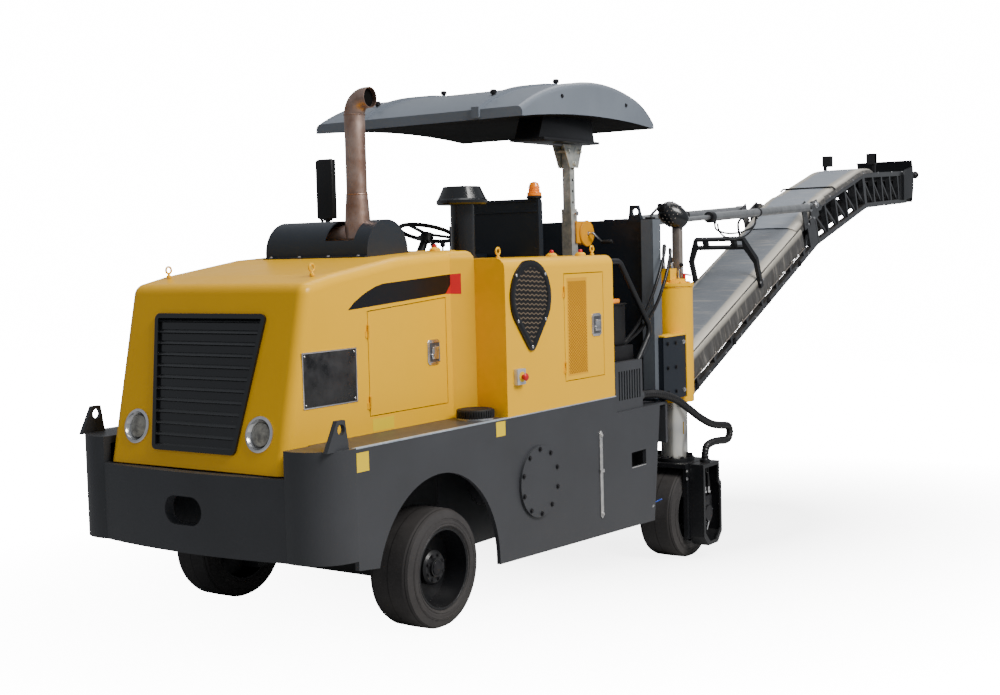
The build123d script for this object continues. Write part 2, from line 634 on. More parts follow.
def steering_wheel():
    x, y, z = WHEEL_AT
    section = Plane.XZ * Pos(190, 0) * RegularPolygon(15, 8)
    ring = Pos(x, y, z) * Rot(0, -18, 0) * revolve(section, axis=Axis.Z)
    hub = Pos(x, y, z - 30) * Rot(0, -18, 0) * Cylinder(45, 60)
    hub_at = Pos(x, y, z) * Rot(0, -18, 0)
    spokes = [hub_at * Rot(0, 0, a) * Pos(98, 0, -8) * Box(180, 26, 14) for a in (0, 120, 240)]
    column = bar(*steering_column(), COLUMN_TUBE_R)
    return join([ring, hub, column] + spokes)


def air_precleaner():
    """Intake pipe with its flared cap, seen as one turned shape."""
    x, y = -895, 420
    outline = [(0, CAB_TOP_Z), (74, CAB_TOP_Z), (74, 2330), (150, 2330), (157, 2340), (157, 2356),
               (148, 2366), (112, 2440), (0, 2446)]
    return Pos(x, y, 0) * revolve(make_face(Plane.XZ * Polyline(*outline, close=True)), axis=Axis.Z)


def fuel_cap():
    y = BODY_HALF - 145
    return join([rod_z(-440, y, 105, DECK_Z, DECK_Z + 22), rod_z(-440, y, 92, DECK_Z + 20, DECK_Z + 60)])


def side_mirror():
    plate = box(-1115, -1085, -905, -765, 2290, 2680)
    arm = join([bar((-1100, -835, 2330), (-1100, -835, FLOOR_Z + 5), 16),
                box(-1130, -1070, -865, -805, FLOOR_Z, FLOOR_Z + 16)])
    return plate + arm


def beacon_lamp():
    """Beacon on its pole beside the instrument panel."""
    x, y = -1767, 380
    outline = [(0, 2386), (44, 2386), (48, 2400), (48, 2420), (38, 2428), (36, 2465), (28, 2486),
               (12, 2494), (0, 2495)]
    return Pos(x, y, 0) * revolve(make_face(Plane.XZ * Polyline(*outline, close=True)), axis=Axis.Z)


# ================================================================ canopy
POST = (-2090.0, 450.0)
POST_HALF = 30.0
SLEEVE_T = 8.0
SLEEVE_TOP = 2317.0
POST_Z = (1370.0, 2752.0)
CANOPY_Y = (-960.0, 700.0)
# crown of the canopy's left end, front edge first: X, Z
CANOPY_OUTER = ((-1156.0, 2863.0), (-1805.0, 3116.0), (-2588.0, 3076.0), (-2851.0, 2942.0))
CANOPY_SAG = (-2010.0, 2914.0)          # middle of the arched lower edge
CANOPY_RIBS = (360.0, -580.0)           # Y of the raised cross ribs
CANOPY_RIB_HALF = 28.0
CANOPY_RIB_H = 16.0
CANOPY_FASCIA = 62.0                    # depth of the front and rear fascias
CANOPY_ROUND = 35.0


def canopy_sleeve():
    """Square sleeve of the canopy post with its hand winch."""
    x, y = POST
    wall = POST_HALF + SLEEVE_T + RUN
    hole = POST_HALF + RUN
    sleeve = box(x - wall, x + wall, y - wall, y + wall, REAR_DECK_Z, SLEEVE_TOP)
    sleeve -= box(x - hole, x + hole, y - hole, y + hole, REAR_DECK_Z + 20, SLEEVE_TOP + 5)
    foot = box(x - 110, x + 110, y - 110, y + 110, REAR_DECK_Z, REAR_DECK_Z + 15)
    winch = join([rod_y(x - 125, 2150, 78, y - 55, y + 55),
                  box(x - 110, x - wall + 1, y - 40, y + 40, 2090, 2210)])
    return join([sleeve, foot, winch])


def canopy_post():
    x, y = POST
    post = box(x - POST_HALF, x + POST_HALF, y - POST_HALF, y + POST_HALF, *POST_Z)
    plate = box(-2284, -1587, y - 130, y + 130, POST_Z[1] - 2, POST_Z[1] + 12)
    head = plate_xz([(-2284, POST_Z[1]), (-1587, POST_Z[1]), (-1660, POST_Z[1] + 190),
                     (-2240, POST_Z[1] + 190)], y - 90, y + 90)
    return join([post, plate, head]) - canopy_hollow(RUN)


def crown_arcs(inset):
    """Crown of the roof from the front fascia to the rear one, moved in by inset."""
    front, high, back, rear = CANOPY_OUTER
    crown = [(x, z - inset) for x, z in (high, back)]
    brow_front = (front[0] - inset, front[1] + CANOPY_FASCIA - inset)
    brow_rear = (rear[0] + inset, rear[1] - inset)
    return [ThreePointArc(brow_front, (-1480, 3055 - inset), crown[0]),
            ThreePointArc(crown[0], (-2200, 3137 - inset), crown[1]),
            ThreePointArc(crown[1], (-2740, 3018 - inset), brow_rear)]


def canopy_section(inset):
    """Closed outline of the roof shell's end, moved in by inset: fascias, crown and arched lower edge."""
    arcs = crown_arcs(inset)
    brow_front, brow_rear = arcs[0] @ 0, arcs[-1] @ 1
    low_front = (brow_front.X, CANOPY_OUTER[0][1])
    low_rear = (brow_rear.X, CANOPY_OUTER[3][1] - CANOPY_FASCIA)
    ring = [Line(low_front, brow_front), *arcs, Line(brow_rear, low_rear),
            ThreePointArc(low_rear, CANOPY_SAG, low_front)]
    return make_face(ring)


def rib_section():
    """Band over the crown and both fascias, closed inside the roof."""
    arcs = crown_arcs(-CANOPY_RIB_H)
    brow_front, brow_rear = arcs[0] @ 0, arcs[-1] @ 1
    front_z, rear_z = CANOPY_OUTER[0][1] + 8, CANOPY_OUTER[3][1] - CANOPY_FASCIA + 8
    inside = Polyline((brow_rear.X, brow_rear.Y), (brow_rear.X, rear_z), (brow_rear.X + 66, rear_z + 50),
                      (CANOPY_SAG[0], CANOPY_SAG[1] + 86), (brow_front.X - 66, front_z + 34),
                      (brow_front.X, front_z), (brow_front.X, brow_front.Y))
    return make_face([*arcs, *inside.edges()])


def canopy_block(inset):
    y0, y1 = CANOPY_Y
    plane = Plane(origin=(0, y1 - inset, 0), x_dir=(1, 0, 0), z_dir=(0, -1, 0))
    return extrude(plane * canopy_section(inset), amount=y1 - y0 - 2 * inset)


def canopy_hollow(gap):
    """The roof's filled outline, used to trim what bolts under it."""
    return Pos(0, 0, -gap) * canopy_block(0)


def canopy_roof():
    """Moulded barrel roof, arched fore and aft, with rounded ends and two raised cross ribs."""
    roof = canopy_block(0)
    ends = [edge for edge in roof.edges()
            if min(abs(edge.center().Y - CANOPY_Y[0]), abs(edge.center().Y - CANOPY_Y[1])) < 1]
    top = [edge for edge in ends if edge.center().Z > CANOPY_OUTER[0][1] + CANOPY_FASCIA]
    roof = fillet(top, CANOPY_ROUND)
    for y in CANOPY_RIBS:
        plane = Plane(origin=(0, y + CANOPY_RIB_HALF, 0), x_dir=(1, 0, 0), z_dir=(0, -1, 0))
        roof += extrude(plane * rib_section(), amount=2 * CANOPY_RIB_HALF)
    return roof


# ================================================================ rear wall and columns
def rear_wall():
    """Transverse rear wall with corner posts, lifting lugs, mast bracket and column clamps."""
    parts = [box(WALL_X, WALL_X + 25, -WALL_HALF, WALL_HALF, REAR_DECK_Z, WALL_TOP)]
    for side in (-1, 1):
        y = side * (WALL_HALF - 45)
        channel = box(WALL_X - 60, WALL_X + 60, y - 45, y + 45, REAR_DECK_Z, WALL_TOP)
        mouth = side_span(side, WALL_HALF - 78, WALL_HALF + 5)
        parts.append(channel - box(WALL_X - 48, WALL_X + 48, *mouth, CLAMP_Z[1], WALL_TOP + 5))
        near, far = side * 655, side * 760
        parts.append(plate_yz([(near, WALL_TOP - 20), (near + side * 15, WALL_TOP + 97),
                               (far - side * 30, WALL_TOP + 97),
                               (far, WALL_TOP - 20)], WALL_X - 5, WALL_X + 30)
                     - rod_x(side * REAR_LUG[0], REAR_LUG[1], LUG_R, WALL_X - 10, WALL_X + 40))
        inner, outer = sorted((side * 620, side * 900))
        clamp = box(COLUMN_X + 100, WALL_X + 5, inner, outer, CLAMP_Z[0], CLAMP_Z[1])
        parts.append(clamp - rod_z(COLUMN_X, side * WHEEL_Y, COLUMN_R, CLAMP_Z[0] - 50, CLAMP_Z[1] + 50))
    for z0 in (SLEW_HIGH[0], SLEW_HIGH[1] - BRACKET_T):
        parts.append(box(SLEW_X - 60, WALL_X + 5, -100, 100, z0, z0 + BRACKET_T))
    parts.append(rod_z(SLEW_X, 0, SLEW_PIN_R, SLEW_HIGH[0] - 5, SLEW_HIGH[1] + 10))
    return join(parts)


def lift_tubes():
    """Guide tubes of the two lifting columns, with cap plates, cylinder heads and port blocks."""
    x, y = COLUMN_X, WHEEL_Y
    tube = rod_z(x, y, COLUMN_R, COLUMN_Z0, COLUMN_TOP)
    tube -= rod_z(x, y, STEM_R + 1, COLUMN_Z0 - 1, COLUMN_TOP - 40)
    cap = rod_z(x, y, COLUMN_R + 8, COLUMN_TOP - 22, COLUMN_TOP)
    head = rod_z(x, y, COLUMN_R - 45, COLUMN_TOP - 5, COLUMN_TOP + 30)
    block = box(x + 10, x + 110, y - 45, y + 45, COLUMN_TOP + 20, COLUMN_TOP + 105)
    tube = join([tube, cap, head, block])
    return tube + mirrored(tube)


GUARD_OPEN = (COLUMN_X - 150, COLUMN_X + 140)   # X of the hub motor guard
GUARD_OUT = 1040.0
MOTOR_GUARD_T = 8.0
MOTOR_GUARD_LIP = 26.0
MOTOR_GUARD_CUT = 70.0


def motor_guard_outline(inset):
    """Outline of the open hub motor guard, moved in by inset."""
    x0, x1 = GUARD_OPEN[0] + inset, GUARD_OPEN[1] - inset
    z0, z1 = REAR_AXLE_Z - 220 + inset, LEG_PLATE_Z - 2 - inset
    cut = MOTOR_GUARD_CUT
    return [(x1, z1), (x0 + 30, z1), (x0 + 30, z1 - 130), (x0, z1 - 160), (x0, z0 + cut), (x0 + cut, z0),
            (x1 - cut, z0), (x1, z0 + cut)]


def lift_leg(hose=False):
    """Left leg: stem, top plate, outer plate, hub motor and its open guard, and the hose's gland."""
    x, y = COLUMN_X, WHEEL_Y
    plate_y = WHEEL_Y + TYRE_W / 2 + 10
    top = LEG_PLATE_Z
    motor_y = WHEEL_Y + HUB_INNER + 6
    parts = [
        rod_z(x, y, STEM_R, top - 5, COLUMN_TOP - 40 - LIFT_UP - 15),
        box(x - 190, x + 190, y - 150, plate_y + 30, top - LEG_PLATE_T, top),
        rod_z(x, y, STEM_R + 45, top - 5, top + 25),
        box(x - 170, x + 170, plate_y, plate_y + 30, REAR_AXLE_Z - 170, top - 5),
        rod_y(x, REAR_AXLE_Z, 120, motor_y, plate_y + 5),
        rod_y(x, REAR_AXLE_Z, SPINDLE_R, WHEEL_Y - 40, motor_y + 5),
        rod_y(x, REAR_AXLE_Z, 85, plate_y + 25, plate_y + 105),
    ]
    parts.append(plate_xz(motor_guard_outline(0), plate_y + 25, GUARD_OUT)
                 - plate_xz(motor_guard_outline(MOTOR_GUARD_T), plate_y + 20, GUARD_OUT - 12))
    parts[-1] -= plate_xz(motor_guard_outline(MOTOR_GUARD_LIP), plate_y + 20, GUARD_OUT + 10)
    ribs = [plate_xz([(x - 150, top - 5), (x + 150, top - 5), (x + 60, top + 70), (x - 60, top + 70)],
                     y - 6, y + 6),
            box(x - 6, x + 6, y - 140, y + 140, top - 5, top + 60)]
    if hose:
        end_x, end_y, end_z = HOSE_ROUTE[-1]
        ribs.append(rod_z(end_x, end_y, GLAND_R, LEG_PLATE_Z - 4, end_z))
    return join(parts + ribs)


def floodlight():
    """Square post on the column head with a pear shaped lamp."""
    x, y = COLUMN_X - 60, WHEEL_Y + 20
    post = box(x - 30, x + 30, y - 30, y + 30, COLUMN_TOP + 30, 2206)
    lamp = Pos(x + 15, y, 2262) * Rot(0, 90, 0) * Cone(85, 52, 150)
    return join([post, lamp])


LOUVRE_SLOTS = 9
COOLER_TOP = 1305.0


def louvre_box():
    """Cooler box behind the cabinet with upright louvre slots in its left face."""
    x0, x1, y0, y1, z1 = HOSE_ROUTE[0][0] + GLAND_L, STEP_X - 10, BODY_HALF - 325, BODY_HALF - 15, COOLER_TOP
    body = box(x0, x1, y0, y1, REAR_DECK_Z, z1)
    body -= box(x0 + 15, x1 - 15, y0 + 15, y1 - 15, REAR_DECK_Z + 15, z1 - 15)
    step = (x1 - x0 - 60) / LOUVRE_SLOTS
    slots = [box(x0 + 30 + step * index, x0 + 30 + step * (index + 0.5), y1 - 20, y1 + 5, z1 - 250, z1 - 60)
             for index in range(LOUVRE_SLOTS)]
    _, gland_y, gland_z = HOSE_ROUTE[0]
    return body - slots + rod_x(gland_y, gland_z, GLAND_R, HOSE_ROUTE[0][0], x0 + 5)


def handrails():
    """Bent rail from the cabinet down to the top of the cooler box."""
    y = BODY_HALF - 45
    rail = FilletPolyline((CAB_REAR_X, y, 1960), (-1960, y, 1960), (-2380, y, 1490),
                          (-2165, y, COOLER_TOP - 30), radius=RAIL_BEND)
    tube = sweep(Plane(origin=rail @ 0, z_dir=rail % 0) * Circle(RAIL_R), path=rail)
    return tube - box(-2300, STEP_X, y - 60, y + 60, COOLER_TOP - 90, COOLER_TOP)


RAIL_R = 19.0
RAIL_BEND = 80.0


# ================================================================ wheels and front axle
def tyre(x, y, z):
    """Solid tyre with a crowned tread, worn shoulders and slightly hollow side walls."""
    half = TYRE_W / 2
    side = [(RIM_R, half - 8), (RIM_R + 25, half), (TYRE_R - SHOULDER - 12, half - 3),
            (TYRE_R - SHOULDER / 3, half - SHOULDER / 3),
            (TYRE_R - 2, half - SHOULDER)]
    outline = [(r, -y_side) for r, y_side in side] + [(r, y_side) for r, y_side in reversed(side)]
    outline.insert(len(side), (TYRE_R, 0))
    return Pos(x, y, z) * revolve(make_face(Polyline(*outline, close=True)), axis=Axis.Y)


def rim(x, y, z, out):
    """Deep dished rim; out is +1 when the closed hub end faces left."""
    half = TYRE_W / 2
    barrel = [(RIM_R - RIM_WALL, -half + 10), (RIM_R - RUN, -half + 10), (RIM_R - RUN, half - 10),
              (RIM_R - RIM_WALL, half - 10)]
    disc = [(HUB_R - 20, -30), (RIM_R - RIM_WALL + 2, -30), (RIM_R - RIM_WALL + 2, -10), (HUB_R - 20, -10)]
    bore = SPINDLE_BORE
    hub = [(0, 60), (bore, 60), (bore, -HUB_INNER), (HUB_R, -HUB_INNER), (HUB_R, HUB_OUTER - 12),
           (HUB_R - 12, HUB_OUTER),
           (HUB_CAP_R, HUB_OUTER), (HUB_CAP_R, HUB_OUTER + 14), (0, HUB_OUTER + 14)]
    parts = [revolve(make_face(Polyline(*points, close=True)), axis=Axis.Y) for points in (barrel, disc, hub)]
    wheel = join(parts)
    return Pos(x, y, z) * Rot(0, 0, 0 if out > 0 else 180) * wheel


KING_Y = 545.0
KING_R = 25.0
FORK_Y = 475.0              # end of the beam, clear of the turning knuckle
KNUCKLE_Z = (250.0, 410.0)
FORK_GAP = 5.0


def front_axle():
    """Beam with a fork and kingpin at each end, hung from the rails by two pedestals."""
    z0, z1 = KNUCKLE_Z
    parts = [box(-60, 60, -FORK_Y + 10, FORK_Y - 10, z0, z1)]
    for side in (-1, 1):
        inner, outer = sorted((side * (FORK_Y - 15), side * (KING_Y + 45)))
        parts.append(box(-60, 60, inner, outer, z1 + FORK_GAP, z1 + FORK_GAP + 40))
        parts.append(box(-60, 60, inner, outer, z0 - FORK_GAP - 40, z0 - FORK_GAP))
        web_in, web_out = sorted((side * (FORK_Y - 15), side * FORK_Y))
        parts.append(box(-60, 60, web_in, web_out, z0 - FORK_GAP - 40, z1 + FORK_GAP + 40))
        parts.append(rod_z(0, side * KING_Y, KING_R, z0 - FORK_GAP - 45, z1 + FORK_GAP + 45))
        y = side * RAIL_Y
        parts.append(box(-110, 110, y - 25, y + 25, z1 - 5, RAIL_Z0))
    return join(parts)


def knuckle():
    """Left steering knuckle: block on the kingpin, wheel spindle and steering arm."""
    z0, z1 = KNUCKLE_Z
    block = box(-55, 55, KING_Y - 38, KING_Y + 55, z0, z1)
    spindle = rod_y(0, AXLE_Z, SPINDLE_R, KING_Y + 50, WHEEL_Y + 40)
    arm = box(-215, -50, KING_Y - 20, KING_Y + 20, z0 + 10, z0 + 40)
    return join([block, spindle, arm]) - rod_z(0, KING_Y, KING_R + RUN, 200, 460)


# ================================================================ conveyor
def conv_point(along, across, y=0.0):
    """Place on the lower section: along it from the raise axis, across it upwards."""
    a = radians(CONV_SLOPE)
    x = RAISE_AT[0] - along * cos(a) + across * sin(a)
    z = RAISE_AT[1] + along * sin(a) + across * cos(a)
    return (x, y, z)


def from_fold(points):
    fx, _, fz = conv_point(*FOLD_AT)
    return [(fx + x, fz + z) for x, z in points]


UPPER_LOW = from_fold(FROM_FOLD_LOW)
UPPER_TOP = from_fold(FROM_FOLD_TOP)


def conv_box(u0, u1, y0, y1, v0, v1):
    """A box laid along the lower section."""
    shape = box(-u1, -u0, y0, y1, v0, v1)
    return Pos(RAISE_AT[0], 0, RAISE_AT[1]) * Rot(0, CONV_SLOPE, 0) * shape


def slew_yoke():
    """Slewing yoke under the conveyor tail."""
    z0, z1 = SLEW_LOW[0] + BRACKET_T + 5, SLEW_LOW[1] - BRACKET_T - 5
    x, z = RAISE_AT
    parts = [box(SLEW_X - 50, SLEW_X + 50, -80, 80, z0, z1),
             box(SLEW_X - 75, SLEW_X - 45, -YOKE_HALF, YOKE_HALF, z0, z1)]
    for side in (-1, 1):
        inner, outer = sorted((side * (CONV_HALF + 12), side * YOKE_HALF))
        cheek = plate_xz([(SLEW_X - 50, z0), (SLEW_X - 50, z1), (x + 15, z + 58), (x - 45, z + 45),
                          (x - 58, z), (x - 45, z - 45), (x + 15, z - 58)], inner, outer)
        parts.append(cheek - rod_y(x, z, RAISE_PIN_R + RUN, inner - 5, outer + 5))
    return join(parts) - rod_z(SLEW_X, 0, SLEW_PIN_R + RUN, 300, 700)


def hoist_mast():
    """Swivel beam on the slew axis with a clevis for each hoist cylinder."""
    z0, z1 = SLEW_HIGH[0] + BRACKET_T + 5, SLEW_HIGH[1] - BRACKET_T - 5
    ex, ez = HOIST_EYE
    parts = [box(SLEW_X - 50, SLEW_X + 50, -80, 80, z0, z1),
             box(SLEW_X - 78, SLEW_X - 45, -HOIST_Y - CLEVIS_OUT, HOIST_Y + CLEVIS_OUT, z0, z1)]
    for side in (-1, 1):
        for dy in (-CLEVIS_OUT + 10, CLEVIS_OUT - 10):
            y = side * HOIST_Y + dy
            parts.append(box(ex - 65, SLEW_X - 60, y - 10, y + 10, z0, ez + 55))
    return join(parts) - rod_z(SLEW_X, 0, SLEW_PIN_R + RUN, 2000, 2300)


def side_span(side, inner, outer):
    """Y range of a strip between two distances from the middle, on one side."""
    return sorted((side * inner, side * outer))


def conveyor_frame_lower():
    """Lattice side frames with raise pins, hoist lugs, fold ears and the cradle of the folded section."""
    x, z = RAISE_AT
    fx, _, fz = conv_point(*FOLD_AT)
    pin_u, pin_v = HOIST_PIN
    parts = []
    for side in (-1, 1):
        strip = side_span(side, CONV_HALF - CHORD, CONV_HALF)
        parts.append(conv_box(CONV_TAIL, FOLD_END, *strip, CONV_LOW, CONV_LOW + CHORD))
        parts.append(conv_box(CONV_TAIL, FOLD_END, *strip, RAIL_V, RAIL_V + CHORD))
        step = (FOLD_END - CONV_TAIL - POST_W) / BAYS_LOW
        for index in range(BAYS_LOW + 1):
            u = CONV_TAIL + index * step
            parts.append(conv_box(u, u + POST_W, *strip, CONV_LOW + 10, RAIL_V + 10))
            if index < BAYS_LOW:
                ends = (u + POST_W / 2, CONV_LOW + CHORD / 2), (u + step + POST_W / 2, RAIL_V + CHORD / 2)
                parts.append(square_bar(*[conv_point(*end, sum(strip) / 2) for end in ends], BRACE))
        for u in belt_drums():
            web = side_span(side, CONV_HALF - WEB_T, CONV_HALF)
            parts.append(conv_box(u - 90, u + 90, *web, CONV_LOW + 5, RAIL_V + 10))
        parts.append(rod_y(x, z, RAISE_PIN_R, *side_span(side, CONV_HALF - 10, YOKE_HALF)))
        lug = side_span(side, CONV_HALF + 8, CONV_HALF + 18)
        parts.append(conv_box(pin_u - 55, pin_u + 55, *side_span(side, CONV_HALF - 20, CONV_HALF + 18),
                              RAIL_V, RAIL_V + CHORD))
        parts.append(conv_box(pin_u - 55, pin_u + 55, *lug, RAIL_V, pin_v + 45))
        parts.append(rod_y(*hoist_pin_xz(), HOIST_PIN_R, *side_span(side, CONV_HALF + 10, HOIST_Y + 42)))
        ear = conv_box(FOLD_END - 170, FOLD_AT[0] + 40, *side_span(side, CONV_HALF - 8, CONV_HALF + 26),
                       RAIL_V, RAIL_V + CHORD)
        ear += conv_box(FOLD_END - 120, FOLD_AT[0] + 40, *side_span(side, CONV_HALF + 8, CONV_HALF + 26),
                        RAIL_V, FOLD_AT[1] + 38)
        parts.append(ear)
    for u in (CONV_TAIL, 1400, 2800, FOLD_END - CHORD):
        parts.append(conv_box(u, u + CHORD, -CONV_HALF + 5, CONV_HALF - 5, CONV_LOW, CONV_LOW + CHORD))
    holes = rod_y(fx, fz, FOLD_PIN_R + RUN, -400, 400)
    clearance = conv_box(FOLD_END, FOLD_END + 200, -CONV_HALF - 7, CONV_HALF + 7, -400, 400)
    return join(parts) - holes - clearance


def hoist_pin_xz():
    x, _, z = conv_point(*HOIST_PIN)
    return x, z


def conveyor_belt_lower():
    """Both runs of the lower belt round its end drums, whose shafts sit in the side frames."""
    upper, lower = BELT_V
    mid, r = (upper + lower) / 2, (upper - lower) / 2
    ends = belt_drums()
    parts = [conv_box(*ends, -BELT_HALF, BELT_HALF, upper - BELT_T, upper),
             conv_box(*ends, -BELT_HALF, BELT_HALF, lower, lower + BELT_T)]
    for u in ends:
        x, _, z = conv_point(u, mid)
        parts.append(rod_y(x, z, r, -BELT_HALF, BELT_HALF))
        reach = CONV_HALF - WEB_T - RUN
        parts.append(rod_y(x, z, 22, -reach, reach))
    return join(parts)


def belt_drums():
    """Places of the two end drums along the lower section."""
    r = (BELT_V[0] - BELT_V[1]) / 2
    return CONV_TAIL + 15 + r, FOLD_END - 15 - r


def conveyor_cover_lower():
    """Inverted U of the belt cover, clipped outside the side frames."""
    half = CONV_HALF + 7
    t = 6.5
    shell = conv_box(*COVER_U, -half, half, -60, CONV_TOP)
    return shell - conv_box(COVER_U[0] - 5, COVER_U[1] + 5, -half + t, half - t, -65, CONV_TOP - t)


HOOP_U = 2800.0
HOOP_V = 540.0
HOOP_BEAM = 105.0


def cover_hoop():
    """Cradle over the cover that the folded section rests on, with three windows in its beam."""
    half = CONV_HALF + 20
    foot, top, under = 60.0, HOOP_V, HOOP_V - HOOP_BEAM
    outer = [(-half - 20, foot), (-half - 20, 330), (-half + 75, top), (half - 75, top), (half + 20, 330),
             (half + 20, foot), (half - 12.5, foot), (half - 12.5, 300), (half - 80, under),
             (80 - half, under), (12.5 - half, 300), (12.5 - half, foot)]
    face = make_face(Polyline(*outer, close=True))
    for y, width in ((-190, 70), (0, 230), (190, 70)):
        face -= Pos(y, top - HOOP_BEAM / 2) * Rectangle(width, HOOP_BEAM - 50)
    arch = extrude(Plane.YZ * face, amount=25, both=True)
    return Pos(RAISE_AT[0], 0, RAISE_AT[1]) * Rot(0, CONV_SLOPE, 0) * Pos(-HOOP_U, 0, 0) * arch


def hoist_axis():
    """Conveyor pin, unit vector from it to the mast eye, and their distance."""
    px, pz = hoist_pin_xz()
    dx, dz = HOIST_EYE[0] - px, HOIST_EYE[1] - pz
    length = hypot(dx, dz)
    return (px, pz), (dx / length, dz / length), length


def along_hoist(distance, y):
    (px, pz), (dx, dz), _ = hoist_axis()
    return (px + dx * distance, y, pz + dz * distance)


def hoist_barrels():
    """The two cylinder barrels on the conveyor's pins."""
    px, pz = hoist_pin_xz()
    parts = []
    for side in (-1, 1):
        y = side * HOIST_Y
        tube = bar(along_hoist(35, y), along_hoist(BARREL_L, y), BARREL_R)
        tube -= bar(along_hoist(120, y), along_hoist(BARREL_L + 5, y), ROD_R + RUN)
        eye = rod_y(px, pz, 42, y - 30, y + 30)
        parts.append((tube + eye) - rod_y(px, pz, HOIST_PIN_R + RUN, y - 40, y + 40))
    return parts[0] + parts[1]


def hoist_rods():
    """The two piston rods with their eyes at the mast."""
    _, _, length = hoist_axis()
    parts = []
    for side in (-1, 1):
        y = side * HOIST_Y
        eye = rod_y(*HOIST_EYE, 34, y - 24, y + 24)
        parts.append(bar(along_hoist(ROD_START, y), along_hoist(length - 20, y), ROD_R) + eye)
    return parts[0] + parts[1]


def upper_chord(line, up, strip):
    """One chord of the upper section, a square tube along a bent line."""
    parts = []
    for (xa, za), (xb, zb) in zip(line, line[1:]):
        outline = [(xa, za + up), (xb, zb + up), (xb, zb + up + CHORD), (xa, za + up + CHORD)]
        parts.append(plate_xz(outline, *strip))
    return parts


def conveyor_frame_upper():
    """Bent lattice frame of the folding section with its hinge ears and cross tubes."""
    fx, _, fz = conv_point(*FOLD_AT)
    parts = []
    for side in (-1, 1):
        strip = side_span(side, CONV_HALF - CHORD, CONV_HALF)
        parts += upper_chord(UPPER_LOW, 0, strip)
        parts += upper_chord(UPPER_TOP, -CHORD, strip)
        for (la, lb), (ta, tb), bays in ((UPPER_LOW[:2], UPPER_TOP[:2], 5),
                                         (UPPER_LOW[1:], UPPER_TOP[1:], 5)):
            for index in range(bays + 1):
                f = index / bays
                xl, zl = la[0] + (lb[0] - la[0]) * f, la[1] + (lb[1] - la[1]) * f
                xt, zt = ta[0] + (tb[0] - ta[0]) * f, ta[1] + (tb[1] - ta[1]) * f
                w = -POST_W if index < bays else POST_W
                if index < bays and xl > UPPER_LOW[2][0] + 300:
                    g = (index + 1) / bays
                    foot = (la[0] + (lb[0] - la[0]) * g, sum(strip) / 2,
                            la[1] + (lb[1] - la[1]) * g + CHORD / 2)
                    parts.append(square_bar(foot, (xt, sum(strip) / 2, zt - CHORD / 2), BRACE))
                parts.append(plate_xz([(xl, zl + 5), (xl + w, zl + 5), (xt + w, zt - 20), (xt, zt - 20)],
                                      *strip))
        x0, z0 = UPPER_TOP[0]
        ear = plate_xz([(x0 - 230, z0 + 20), (x0 - 200, z0 - 20), (x0 - 8, z0 - 45), (fx + 30, fz - 20),
                        (fx + 25, fz + 30),
                        (fx - 30, fz + 38)], *side_span(side, CONV_HALF - 25, CONV_HALF + 2.5))
        parts.append(ear)
        parts.append(rod_y(fx, fz, FOLD_PIN_R, *side_span(side, CONV_HALF - 20, CONV_HALF + 32)))
        head_x, head_low = UPPER_LOW[2]
        web = [(head_x + HEAD_SHAFT - 95, head_low + 10), (head_x + HEAD_SHAFT + 95, head_low + 10),
               (head_x + HEAD_SHAFT + 95, UPPER_TOP[2][1] - 10),
               (head_x + HEAD_SHAFT - 95, UPPER_TOP[2][1] - 10)]
        parts.append(plate_xz(web, *side_span(side, CONV_HALF - WEB_T, CONV_HALF)))
    for x, z in (UPPER_LOW[0], UPPER_LOW[1]):
        parts.append(box(x - CHORD, x - 2, -CONV_HALF + 5, CONV_HALF - 5, z + 4, z + CHORD - 4))
    x, z = UPPER_LOW[2]
    parts.append(box(x, x + CHORD, -CONV_HALF + 5, CONV_HALF - 5, z, z + CHORD))
    return join(parts)


def belt_run(line, rise, lead, tail):
    """One run of the upper belt as a bent 12 mm sheet."""
    low = [(x, z + rise) for x, z in line]
    low[0] = (low[0][0] - lead, low[0][1] + lead * 0.27)
    low[-1] = (low[-1][0] + tail, low[-1][1] - tail * 0.05)
    high = [(x, z + 12) for x, z in low]
    return plate_xz(low + high[::-1], -BELT_HALF, BELT_HALF)


def conveyor_belt_upper():
    """Both runs of the upper belt round the head drum."""
    x = UPPER_LOW[2][0] + HEAD_SHAFT
    z0, z1 = UPPER_LOW[2][1] + 75, UPPER_TOP[2][1] - 105
    drum = rod_y(x, (z0 + z1) / 2 + 6, (z1 - z0) / 2 + 4, -BELT_HALF, BELT_HALF)
    reach = CONV_HALF - WEB_T - RUN
    shaft = rod_y(x, (z0 + z1) / 2 + 6, 22, -reach, reach)
    first = belt_run(UPPER_TOP, -105, 70, 70)
    return join([first, belt_run(UPPER_LOW, 75, 60, 120), drum, shaft])


def conveyor_cover_upper():
    """Cloth cover over the first bay of the upper section."""
    (xa, za), (xb, zb), (xc, zc) = UPPER_TOP
    low = [(xa - 260, za + 260 * (zb - za) / (xa - xb) + RUN), (xb, zb + RUN),
           (xc + 1060, zb + (zc - zb) * 0.215 + RUN)]
    high = [(x, z + 30) for x, z in low]
    return plate_xz(low + high[::-1], -CONV_HALF - 3, CONV_HALF + 3)


